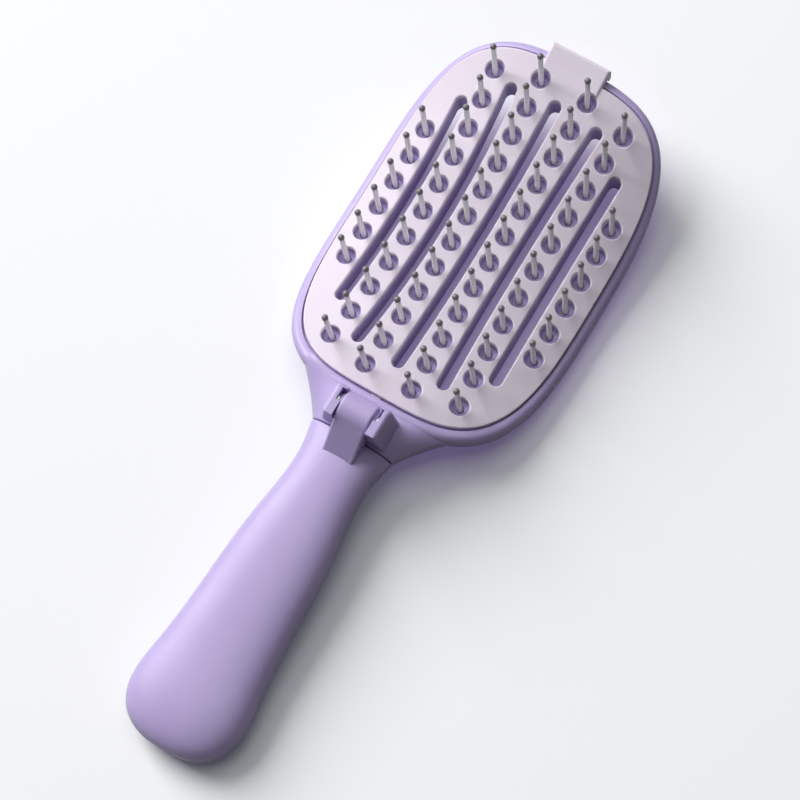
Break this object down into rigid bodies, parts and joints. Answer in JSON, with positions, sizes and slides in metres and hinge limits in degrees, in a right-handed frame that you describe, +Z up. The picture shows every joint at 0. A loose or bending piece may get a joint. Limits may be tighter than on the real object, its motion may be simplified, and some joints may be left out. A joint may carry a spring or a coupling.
{
  "type": "folding travel hair brush",
  "caption": "Folding vented hair brush: oval head with ball-tipped bristles, lift-up cleaning panel and a hinged handle that folds forward over the bristles.",
  "frame": {"origin": "middle of the bounding box's bottom, on the surface that the brush lies on", "axes": "+Y from the handle's end to the tip of the head, +Z up out of the bristle side, +X across the brush"},
  "size_m": [0.0792, 0.2248, 0.0431],
  "materials": {
    "lavender_plastic": "satin lavender moulding",
    "panel_plastic": "satin whitish lavender moulding",
    "bristle_nylon": "smooth white nylon",
    "tip_plastic": "glossy dark grey",
    "steel": "plain zinc plated"
  },
  "bodies": {
    "head": {"head_frame": "lavender_plastic", "back_cover": "lavender_plastic", "pin_cap": "lavender_plastic", "cover_screws": "steel", "hinge_pin": "steel", "hinge_washers": "steel", "bristle_strip_1": "bristle_nylon", "ball_tips_1": "tip_plastic", "bristle_strip_2": "bristle_nylon", "ball_tips_2": "tip_plastic", "bristle_strip_3": "bristle_nylon", "ball_tips_3": "tip_plastic", "bristle_strip_4": "bristle_nylon", "ball_tips_4": "tip_plastic", "bristle_strip_5": "bristle_nylon", "ball_tips_5": "tip_plastic", "bristle_strip_6": "bristle_nylon", "ball_tips_6": "tip_plastic"},
    "panel": {"cleaning_panel": "panel_plastic"},
    "handle": {"handle_front_shell": "lavender_plastic", "handle_back_shell": "lavender_plastic", "hinge_arm": "lavender_plastic", "handle_screws": "steel"}
  },
  "joints": [
    {"name": "handle_fold", "type": "hinge", "parent": "head", "child": "handle", "pos_m": [0, -0.00954, 0.0259], "axis": [1, 0, 0], "range_deg": [-176, 0]},
    {"name": "panel_lift", "type": "hinge", "parent": "head", "child": "panel", "pos_m": [0, -0.00487, 0.01701], "axis": [1, 0, 0], "range_deg": [0, 12]}
  ]
}
